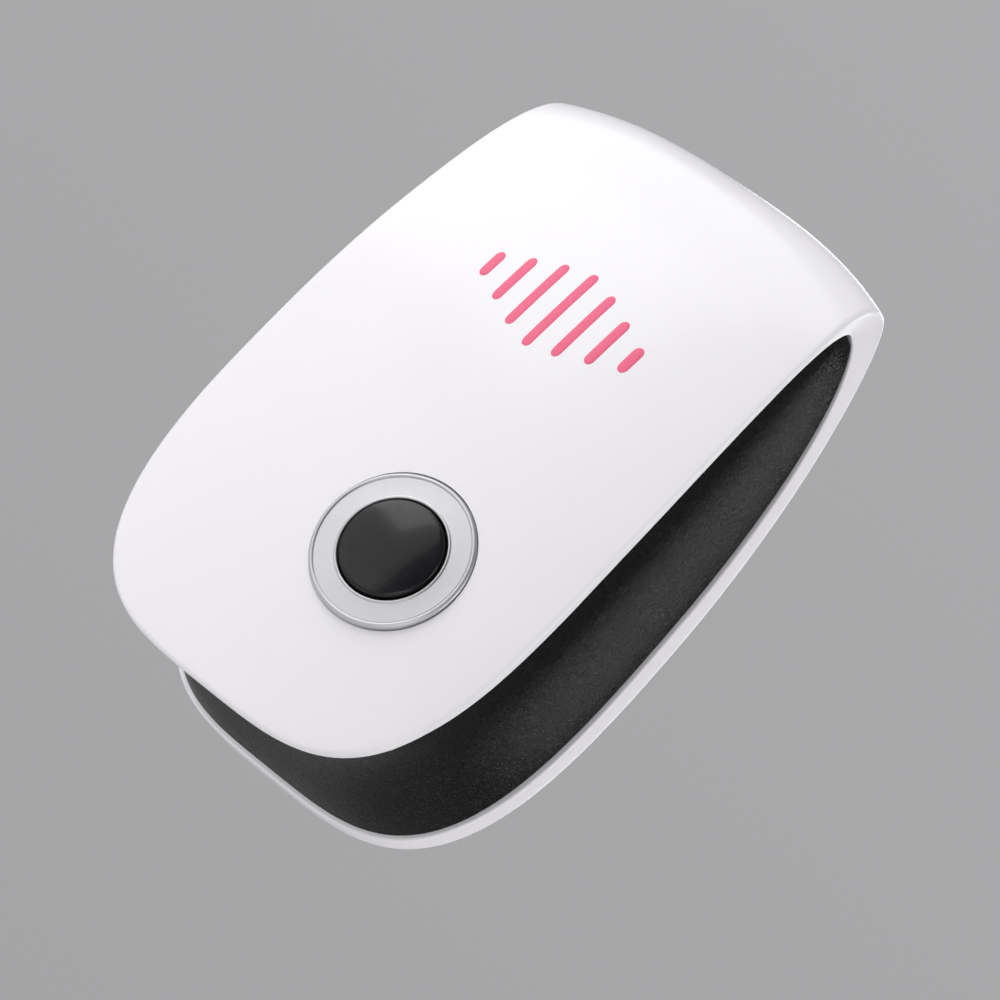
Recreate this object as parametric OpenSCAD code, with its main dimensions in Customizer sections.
// Plug-in ultrasonic pest repeller.
// The white shell bends over the top like a hairpin round a black core, and a push button
// sits in a trim ring low on the face. +X is to the right, +Y points into the wall and +Z is up.
// The origin is the middle of the plug block's wall face, between the two pins.

/* [Case] */
// Width of the case
case_w = 70; // [64:1:76]
// Height of the case
case_h = 112; // [106:1:118]
// Depth from the face beside the button to the back of the case
case_d = 37.6; // [36:0.1:40]
// Height of the widest place above the bottom edge
widest_z = 54; // [48:1:60]
// Squareness of the bottom corners, where 2 is an ellipse
lower_power = 3.6; // [3:0.1:4.5]
// Squareness of the top corners
upper_power = 6.5; // [5:0.5:9]
// How far the face bulges between its two side edges
crown = 3.3; // [2.5:0.1:4]
// Wall thickness of the white shell
shell_wall = 2.2; // [1.8:0.1:2.6]

/* [Core] */
// Depth of the hollow belt in the core below the shell's edge
belt_depth = 5; // [3:0.5:7]
// Wall thickness of the core
core_wall = 1.6; // [1.4:0.1:2]

/* [Button] */
// Distance of the button from the middle of the face
button_x = 9.4; // [4:0.2:12]
// Height of the button above the bottom edge
button_z = 31.5; // [28:0.5:36]
// Radius of the button
button_r = 7.7; // [7:0.1:8.2]
// Outer radius of the trim ring
ring_r = 12.2; // [11.5:0.1:13]
// How far the button travels
button_travel = 0.8; // [0.4:0.1:1]

/* [Plug] */
// Height of the plug above the bottom edge
plug_z = 62; // [58:1:66]
// Length of the plug block behind the case
block_h = 9; // [7:0.5:11]
// Radius of a pin
pin_r = 2; // [1.9:0.05:2.1]
// Length of a pin beyond the plug block
pin_len = 19; // [18:0.5:20]
// Distance between the two pins
pin_pitch = 18.6; // [18:0.1:19.2]

/* [Hidden] */

// Facets of the round parts
round_fn = 64;
// Points of a quarter of the outline, and of one bend of the side profile
quarter = 14;
bend = 12;
// Gap between neighbouring pieces, and past a face that is cut
gap = 0.15;
cut = 1;

half_w = case_w / 2;
face_r = (pow(half_w, 2) + pow(crown, 2)) / (2 * crown);
top_y = 21.8;
corner_lift = 0.6;
pin_neck_r = pin_r - 0.7;
sleeve_r = pin_r - 0.25;
sleeve_len = 10;
sleeve_seat = 2;
flange_y = 31.5;
strap_y = 27.6;
strap_t = 0.8;

// The face leans back 2 degrees at the button, and is turned by the crown
button_lean = 2;
button_yaw = asin(button_x / face_r);
button_y = 0.1 + face_r - sqrt(pow(face_r, 2) - pow(button_x, 2));
button_gap = 0.25;
ring_seat = 1;
button_edge = 0.9;
flange_r = button_r + 1.7;
skirt_h = 3;

// The leaf-shaped opening in the side: its tip, its straight start and its curve
tip_y = 17;
tip_z = 100.5;
leaf_z = 12;
leaf_front = 12;
leaf_back = 16.4;
leaf_power = 3.4;

// Planes of the inside, measured from the face beside the button
board_y = 13;
board_t = 1.6;
board_w = 50;
board_low = 24;
board_high = 68.5;
switch_size = 6;
switch_h = 3.5;
plunger_h = 0.8;
back_y = tip_y + leaf_back;
cover_t = 2;
seat_inset = 3.2;
cover_top = 80;
post_top = 32;
head_seat = 33.5;

// Fixing places as [x, z]
case_screw_at = [[-17.5, 18], [17.5, 18], [-22.5, 72], [22.5, 72]];
shell_screw_at = [[-23, 40], [23, 56], [0, 74]];
board_screw_at = [[-22, 28], [22, 43], [-22, 63], [22, 63]];
thread_r = 1;
head_r = 2.2;
head_h = 1.3;

// Middle of the switch, the transducer, the coil and the tall capacitor as [x, z]
press_len = board_y - switch_h - plunger_h - button_y;
switch_at = [button_x - press_len * sin(button_yaw), button_z - press_len * sin(button_lean)];
transducer_at = [0, 30];
transducer_r = 15;
transducer_y = 26.2;
cover_sink = 0.2;
label_y = case_d - 0.6;
coil_at = [-14, 54];
bulk_at = [14, 52];

function bezier(a, b, c, d, n) = [for (i = [0 : n]) let (t = i / n, s = 1 - t)
    s*s*s * a + 3*s*s*t * b + 3*s*t*t * c + t*t*t * d];

// One quarter of a squared ellipse from its side to its end, both ends included
function quarter_outline(w, h, power, n) = [for (i = [0 : n]) let (a = 90 * i / n)
    [w * pow(cos(a), 2 / power), h * pow(sin(a), 2 / power)]];

// Outline of the case seen from the front, drawn in by an inset, as [x, z] round from the right
function outline(inset, lift = 0) = let (
    up = quarter_outline(half_w - inset, case_h - widest_z + lift, upper_power, quarter),
    down = quarter_outline(half_w - inset, widest_z - inset, lower_power, quarter))
    concat(
        [for (p = up) [p.x, widest_z + p.y]],
        [for (i = [quarter - 1 : -1 : 1]) [-up[i].x, widest_z + up[i].y]],
        [for (p = down) [-p.x, widest_z - p.y]],
        [for (i = [quarter - 1 : -1 : 1]) [down[i].x, widest_z - down[i].y]]);

// Back of the side profile from the top of the bend down as [y, z], with a wall taken off
function back_profile(wall) = concat(
    bezier([top_y, case_h - wall], [27.8 - wall / 2, case_h - wall],
        [case_d - wall, 82], [case_d - wall, 38], bend),
    [[case_d - wall, -cut]]);

// Front of the side profile along the middle of the case as [y, z]
function front_profile(wall) = concat(
    bezier([2.4 + wall, -cut], [1 + wall, 9], [0.1 + wall, 22], [0.1 + wall, 34], 5),
    [for (i = [1 : bend]) bezier([0.1 + wall, 34], [0.85 + wall, 86], [8 + wall, case_h - wall],
        [top_y, case_h - wall], bend)[i]]);

// Front and back edge of the leaf at a height
function leaf_curve(z) = sqrt(max(0, 1 - pow(max(0, z - leaf_z) / (tip_z - leaf_z), leaf_power)));
function leaf_front_y(z) = tip_y - leaf_front * leaf_curve(z) - 0.7 * max(0, 1 - z / 40);
function leaf_back_y(z) = tip_y + leaf_back * leaf_curve(z);
leaf_heights = [for (i = [0 : bend]) leaf_z + (tip_z - leaf_z) * pow(sin(90 * i / bend), 2 / leaf_power)];

// Leaf-shaped opening in the side of the shell as [y, z], open at the bottom
function leaf() = concat(
    [[leaf_front_y(-cut), -cut]],
    [for (z = leaf_heights) [leaf_front_y(z), z]],
    [for (i = [bend - 1 : -1 : 0]) [leaf_back_y(leaf_heights[i]), leaf_heights[i]]],
    [[leaf_back_y(0), -cut]]);

module in_case() {
    translate([0, -(case_d + block_h), -plug_z]) children();
}

// Local +Z points out of the face and zero is the face itself
module at_button() {
    in_case() translate([button_x, button_y, button_z])
        rotate([90 - button_lean, 0, button_yaw]) children();
}

// A shape drawn in [x, z], made solid from y0 to y1
module along_y(y0, y1) {
    translate([0, y1, 0]) rotate([90, 0, 0]) linear_extrude(y1 - y0) children();
}

// A shape drawn in [y, z], made solid across the whole width
module across(width) {
    translate([-width / 2, 0, 0]) rotate([90, 0, 90]) linear_extrude(width) children();
}

// A round bar from y0 to y1 at [x, z]
module bar_y(at, r, y0, y1, fn = round_fn) {
    translate([at.x, y1, at.y]) rotate([90, 0, 0]) cylinder(r = r, h = y1 - y0, $fn = fn);
}

module box_at(low, size) {
    translate(low) cube(size);
}

// Front profile turned about an upright axis far behind the face, which gives the face its crown
module crowned(wall) {
    behind = 60;
    profile = concat(front_profile(wall), [[behind, case_h - wall], [behind, -cut]]);
    translate([0, face_r, 0]) rotate([0, 0, -90])
        rotate_extrude($fn = 180) polygon([for (p = profile) [face_r - p[0], p[1]]]);
}

module case_solid(wall) {
    intersection() {
        crowned(wall);
        along_y(-4, case_d + 1) polygon(outline(wall, corner_lift - wall));
        across(case_w + 2) polygon(concat([[-4, -2], [-4, case_h + 2], [top_y, case_h + 2]],
            back_profile(wall), [[case_d - wall, -2]]));
    }
}

module rear_opening(inset) {
    intersection() {
        along_y(back_y - 8, case_d + 2) polygon(outline(seat_inset + inset));
        box_at([-case_w / 2, 0, -cut], [case_w, case_d + 3, cover_top - inset + cut]);
    }
}

// White shell: face, bend over the top, cheeks beside the leaf and frame round the back
module front_shell() {
    color("white") difference() {
        in_case() union() {
            difference() {
                case_solid(0);
                case_solid(shell_wall);
                across(case_w + 4) polygon(leaf());
                rear_opening(0);
            }
            for (at = shell_screw_at)
                bar_y(at, 2.6, leaf_front_y(at.y) - 2.9, leaf_front_y(at.y));
        }
        at_button() {
            translate([0, 0, -ring_seat]) cylinder(r = ring_r + gap, h = 5, $fn = round_fn);
            cylinder(r = button_r + button_gap, h = 20, center = true, $fn = round_fn);
        }
        in_case() for (at = shell_screw_at)
            bar_y(at, thread_r, leaf_front_y(at.y) - 2.4, leaf_front_y(at.y) + 1, 24);
    }
}

// Depth of the belt at a share of the way from its front edge to its back edge
function belt(share, z) = 0.8 + belt_depth * leaf_curve(z) * pow(sin(180 * pow(share, 0.85)), 1.2);

// Solid that the outside of the core follows, hollowed like a belt round its sides and bottom
module core_form() {
    rows = 9;
    n = 4 * quarter;
    tallest = tip_z - 1.5;
    edge = outline(0);
    points = [for (r = [0 : rows]) for (i = [0 : n - 1]) let (z = min(tallest, edge[i].y),
        p = outline(belt(r / rows, z))[i],
        y = leaf_front_y(z) + (leaf_back_y(z) - leaf_front_y(z)) * r / rows) [p.x, y, p.y]];
    sides = [for (r = [0 : rows - 1]) for (i = [0 : n - 1]) let (j = (i + 1) % n)
        each [[r * n + i, r * n + j, (r + 1) * n + i], [r * n + j, (r + 1) * n + j, (r + 1) * n + i]]];
    strips = [for (start = [0, 2 * quarter]) for (i = [0 : quarter - 1])
        let (a = start + i, d = start + 2 * quarter - i) [a, a + 1, (d - 1) % n, d % n]];
    fronts = [for (strip = strips) strip[1] == strip[2] ? [strip[1], strip[0], strip[3]] :
        [strip[3], strip[2], strip[1], strip[0]]];
    backs = [for (strip = strips) strip[1] == strip[2] ?
        [for (k = [0, 1, 3]) rows * n + strip[k]] : [for (i = strip) rows * n + i]];
    polyhedron(points = points, faces = concat(sides, fronts, backs), convexity = 6);
}

// Black core: a tray with a hollowed belt round it and posts for the board and the cover
module core_shell() {
    inner = belt_depth + 0.8 + core_wall;
    color("#1b1b1d") in_case() difference() {
        union() {
            difference() {
                intersection() {
                    core_form();
                    across(case_w) offset(delta = -gap) polygon(leaf());
                }
                intersection() {
                    across(case_w) offset(delta = -core_wall - gap) polygon(leaf());
                    along_y(0, case_d) polygon(outline(inner));
                }
                rear_opening(inner - seat_inset);
            }
            intersection() {
                across(case_w) offset(delta = -gap) polygon(leaf());
                union() {
                    for (at = case_screw_at) bar_y(at, 3, 0, post_top);
                    for (at = board_screw_at) bar_y(at, 2.6, 0, board_y);
                }
            }
        }
        for (at = case_screw_at) bar_y(at, thread_r, 20, case_d, 24);
        for (at = board_screw_at) bar_y(at, thread_r, leaf_front_y(at.y) + 2, case_d, 24);
        for (at = shell_screw_at) bar_y(at, thread_r + 0.3, 0, case_d, 24);
        bar_y([button_x, button_z], flange_r + 2.2, 0, 8);
    }
}

// Black cover in the open back of the shell, with sound slots and a seat for the plug block
module rear_cover() {
    color("#1b1b1d") in_case() difference() {
        intersection() {
            union() {
                difference() {
                    case_solid(cover_sink);
                    case_solid(cover_sink + cover_t);
                }
                intersection() {
                    case_solid(cover_sink);
                    for (at = case_screw_at) bar_y(at, head_r + 1.2, post_top + gap, case_d);
                }
            }
            along_y(post_top, case_d + 2) polygon(outline(seat_inset + gap));
            box_at([-case_w / 2, 0, -cut], [case_w, case_d + 3, cover_top - gap + cut]);
        }
        for (at = case_screw_at) {
            bar_y(at, thread_r + 0.3, 20, case_d + 1, 24);
            bar_y(at, head_r + 0.2, head_seat, case_d + 1, 32);
        }
        along_y(flange_y, case_d + 1) plug_outline(-gap);
        for (i = [-4 : 4])
            box_at([transducer_at.x - slot_len(i) / 2, back_y, transducer_at.y + 3 * i - 0.7],
                [slot_len(i), case_d, 1.4]);
        along_y(label_y, case_d + 1) label_outline(-gap);
    }
}

function slot_len(i) = 2 * sqrt(pow(13.5, 2) - pow(3 * i, 2));

module plug_outline(inset) {
    translate([0, plug_z]) hull()
        for (side = [-1, 1]) translate([side * 6, 0]) circle(r = 13 - inset, $fn = round_fn);
}

module label_outline(inset) {
    translate([0, 7.5]) square([24 - 2 * inset, 7 - 2 * inset], center = true);
}

// Block that carries the pins, with a flange behind the cover
module plug_block() {
    root = case_d + block_h;
    color("#1b1b1d") in_case() difference() {
        union() {
            along_y(flange_y, root) plug_outline(gap);
            along_y(flange_y - 2.2, flange_y) plug_outline(-0.6);
        }
        for (side = [-1, 1]) {
            bar_y([side * pin_pitch / 2, plug_z], pin_neck_r, 20, root + 1);
            bar_y([side * pin_pitch / 2, plug_z], sleeve_r, root - sleeve_seat, root + 1);
        }
    }
}

// Pin with a thinner neck inside its sleeve and the block, and a round end
module pin(side) {
    root = case_d + block_h;
    color("silver") in_case() {
        bar_y([side * pin_pitch / 2, plug_z], pin_neck_r, strap_y + strap_t, root + sleeve_len);
        bar_y([side * pin_pitch / 2, plug_z], pin_r, root + sleeve_len, root + pin_len - pin_r);
        translate([side * pin_pitch / 2, root + pin_len - pin_r, plug_z])
            rotate([-90, 0, 0]) rotate_extrude($fn = round_fn) intersection() {
                circle(r = pin_r, $fn = round_fn);
                square(pin_r);
            }
    }
}

module pin_left() {
    pin(-1);
}

module pin_right() {
    pin(1);
}

// Insulating sleeves round the half of each pin that is nearer the block
module pin_sleeves() {
    root = case_d + block_h;
    color("#1b1b1d") in_case() for (side = [-1, 1]) difference() {
        bar_y([side * pin_pitch / 2, plug_z], sleeve_r, root - sleeve_seat, root + sleeve_len);
        bar_y([side * pin_pitch / 2, plug_z], pin_neck_r, root - sleeve_seat - 1, root + sleeve_len + 1);
    }
}

// Flat ring with a fine bead round its outer and inner edges
module trim_ring() {
    bore = button_r + button_gap + 0.1;
    color("silver") at_button() rotate_extrude($fn = 96) {
        translate([bore, -ring_seat]) square([ring_r - bore, ring_seat + 0.2]);
        for (r = [bore + 0.3, ring_r - 0.4]) translate([r, 0.2]) circle(r = 0.3, $fn = 24);
    }
}

// Sleeve behind the face that the button slides in
module button_guide() {
    at = [button_x, button_z];
    seat = leaf_front_y(button_z) + core_wall + gap + 0.35;
    color("white") in_case() difference() {
        union() {
            bar_y(at, flange_r + 1.8, 4, seat + 3);
            bar_y(at, flange_r + 3, seat, seat + 1);
        }
        bar_y(at, flange_r + 0.6, 0, 30);
    }
}

// Domed button with a skirt, a retaining flange and a stem down to the switch
module button_cap() {
    dome_r = 30;
    rise = dome_r - sqrt(pow(dome_r, 2) - pow(button_r, 2));
    flange_h = 0.8;
    stem = press_len - gap;
    color("#202022") at_button() {
        rotate_extrude($fn = 96) intersection() {
            translate([0, -dome_r + rise + button_edge]) circle(r = dome_r, $fn = 240);
            translate([0, -skirt_h]) square([button_r, skirt_h + 4]);
        }
        translate([0, 0, -skirt_h - flange_h]) cylinder(r = flange_r, h = flange_h, $fn = round_fn);
        translate([0, 0, -stem]) cylinder(r = 1.3, h = stem - skirt_h, $fn = round_fn);
    }
}

module switch_body() {
    half = switch_size / 2;
    color("#303033") in_case() difference() {
        box_at([switch_at.x - half, board_y - switch_h, switch_at.y - half],
            [switch_size, switch_h, switch_size]);
        bar_y(switch_at, 1.75, 0, board_y - 0.8);
    }
}

module switch_plunger() {
    color("ivory") in_case()
        bar_y(switch_at, 1.5, board_y - switch_h - plunger_h, board_y - 1 - button_travel);
}

module circuit_board() {
    color("darkgreen") in_case() difference() {
        box_at([-board_w / 2, board_y, board_low], [board_w, board_t, board_high - board_low]);
        for (at = board_screw_at) bar_y(at, thread_r + 0.3, 0, 30, 24);
    }
}

// Eight-legged chip on the front of the board
module control_chip() {
    at = [-16, 44];
    color("#262628") in_case() {
        box_at([at.x - 5, board_y - 3.6, at.y - 3.2], [10, 3.2, 6.4]);
        for (side = [-1, 1]) for (i = [-1.5 : 1.5])
            box_at([at.x + 2.54 * i - 0.3, board_y - 2.4, at.y + side * 3.5 - 0.3], [0.6, 2.4, 0.6]);
    }
}

module indicator_led() {
    at = [switch_at.x, switch_at.y - 6];
    color("mistyrose") in_case() {
        bar_y(at, 1.9, board_y - 1.4, board_y, 32);
        bar_y(at, 1.5, board_y - 3.4, board_y - 1.4, 32);
        translate([at.x, board_y - 3.4, at.y]) sphere(r = 1.5, $fn = 32);
    }
}

module film_capacitor() {
    color("gold") in_case() box_at([-9, board_y + board_t, 60.5], [18, 11, 7]);
}

module bulk_capacitor() {
    color("#2a2a55") in_case() difference() {
        bar_y(bulk_at, 5, board_y + board_t, board_y + board_t + 13);
        for (turn = [0, 90]) translate([bulk_at.x, board_y + board_t + 13, bulk_at.y])
            rotate([0, turn, 0]) cube([7, 0.8, 0.6], center = true);
    }
}

module rectifier_diodes() {
    color("#262628") in_case() for (i = [0 : 3]) {
        translate([-23 + 3.6 * i, board_y - 1.6, 50]) cylinder(r = 1.3, h = 5, $fn = 32);
        for (z = [49, 55]) box_at([-23.4 + 3.6 * i, board_y - 2, z], [0.8, 2, 1]);
    }
}

module fuse_resistor() {
    color("tan") in_case() {
        translate([-6, board_y - 2.2, 60]) rotate([0, 90, 0]) cylinder(r = 1.7, h = 9, $fn = 32);
        for (x = [-7, 3]) box_at([x, board_y - 2.6, 59.6], [1, 2.6, 0.8]);
    }
}

// Drum core with its winding as a piece of its own
module drive_coil() {
    y0 = board_y + board_t;
    color("#3c3c40") in_case() {
        bar_y(coil_at, 5, y0, y0 + 1.5);
        bar_y(coil_at, 2.5, y0 + 1.5, y0 + 8.5);
        bar_y(coil_at, 5, y0 + 8.5, y0 + 10);
    }
}

module coil_winding() {
    y0 = board_y + board_t;
    color("chocolate") in_case() difference() {
        bar_y(coil_at, 4.4, y0 + 1.5, y0 + 8.5);
        bar_y(coil_at, 2.5, y0, y0 + 10);
    }
}

// Round holder that the disc radiates out of, towards the slots in the rear cover
module transducer_housing() {
    color("#303033") in_case() difference() {
        bar_y(transducer_at, transducer_r, transducer_y, transducer_y + 8.8);
        bar_y(transducer_at, transducer_r - 1.4, transducer_y + 1.4, transducer_y + 9);
        for (side = [-1, 1]) bar_y(lead_at(side), 0.8, 20, 30, 24);
    }
}

function lead_at(side) = [transducer_at.x + 5 * side, transducer_at.y];

// Soft ring that holds the disc up off the floor of its holder
module transducer_gasket() {
    color("#444448") in_case() difference() {
        bar_y(transducer_at, transducer_r - 1.5, transducer_y + 1.4, transducer_y + 3.4);
        bar_y(transducer_at, transducer_r - 3.5, transducer_y, transducer_y + 4);
    }
}

// Brass disc with its ceramic layer on the side of the leads
module piezo_disc() {
    color("goldenrod") in_case() {
        bar_y(transducer_at, transducer_r - 1.6, transducer_y + 3.4, transducer_y + 3.7);
        bar_y(transducer_at, transducer_r - 5, transducer_y + 3.1, transducer_y + 3.4);
    }
}

module transducer_leads() {
    color("red") in_case() for (side = [-1, 1])
        bar_y(lead_at(side), 0.6, board_y + board_t, transducer_y + 3.1, 24);
}

// Brass straps that join the inner ends of the pins to the board
module pin_straps() {
    rise = board_high - strap_t - plug_z;
    w = 2.4;
    color("gold") in_case() for (side = [-1, 1]) let (x = side * pin_pitch / 2 - w / 2) {
        box_at([x, strap_y, plug_z - 2], [w, strap_t, rise + 2 + strap_t]);
        box_at([x, board_y + board_t, plug_z + rise], [w, strap_y - board_y - board_t, strap_t]);
    }
}

// Pan-headed screw with a crossed slot, driven towards the face with its head seated at y
module screw(at, y, length) {
    color("silver") in_case() difference() {
        union() {
            bar_y(at, head_r, y, y + head_h, 32);
            bar_y(at, thread_r - 0.05, y - length, y + head_h / 4, 24);
        }
        for (turn = [0, 90]) translate([at.x, y + head_h, at.y])
            rotate([0, turn, 0]) cube([head_r * 1.3, 1.2, 0.6], center = true);
    }
}

module case_screws() {
    for (at = case_screw_at) screw(at, head_seat, 10);
}

module shell_screws() {
    for (at = shell_screw_at) screw(at, leaf_front_y(at.y) + core_wall + 4 * gap, 4);
}

module board_screws() {
    for (at = board_screw_at) screw(at, board_y + board_t, 5);
}

// Blank rating label in its shallow recess
module rating_label() {
    color("#8a8a8e") in_case() along_y(label_y, label_y + 0.2) label_outline(0);
}

front_shell();
core_shell();
rear_cover();
plug_block();
pin_left();
pin_right();
pin_sleeves();
trim_ring();
button_guide();
button_cap();
switch_body();
switch_plunger();
circuit_board();
control_chip();
indicator_led();
film_capacitor();
bulk_capacitor();
rectifier_diodes();
fuse_resistor();
drive_coil();
coil_winding();
transducer_housing();
piezo_disc();
transducer_gasket();
transducer_leads();
pin_straps();
case_screws();
shell_screws();
board_screws();
rating_label();
